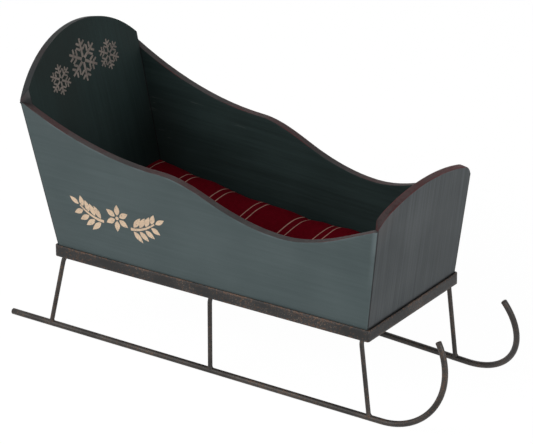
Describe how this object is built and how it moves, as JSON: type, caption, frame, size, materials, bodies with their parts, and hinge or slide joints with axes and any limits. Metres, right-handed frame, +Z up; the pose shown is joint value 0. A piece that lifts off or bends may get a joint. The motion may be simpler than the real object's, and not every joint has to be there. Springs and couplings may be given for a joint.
{
  "type": "dolls' sleigh",
  "caption": "Toy sleigh: open painted-board tub with arched ends and a wavy top edge, a loose striped cushion, and a bar frame on bent bows and curled runners.",
  "frame": {"origin": "on the floor under the runners, at the middle of the outline in plan", "axes": "+X forward to the curled ends of the runners, +Y to the sleigh's left, +Z up"},
  "size_m": [0.3338, 0.1268, 0.191],
  "materials": {
    "painted_board": "brushed matt paint, worn on the edges",
    "cushion_cloth": "woven cloth with thin stripes",
    "dark_metal": "dark lacquer, rubbed brown on the edges"
  },
  "bodies": {
    "root": {"side_board_right": "painted_board", "side_board_left": "painted_board", "headboard": "painted_board", "front_board": "painted_board", "floor_board": "painted_board", "cushion": "cushion_cloth", "rim_right": "dark_metal", "rim_left": "dark_metal", "rim_front": "dark_metal", "rim_rear": "dark_metal", "bow_rear": "dark_metal", "bow_middle": "dark_metal", "bow_front": "dark_metal", "runner_right": "dark_metal", "runner_left": "dark_metal"}
  },
  "joints": []
}
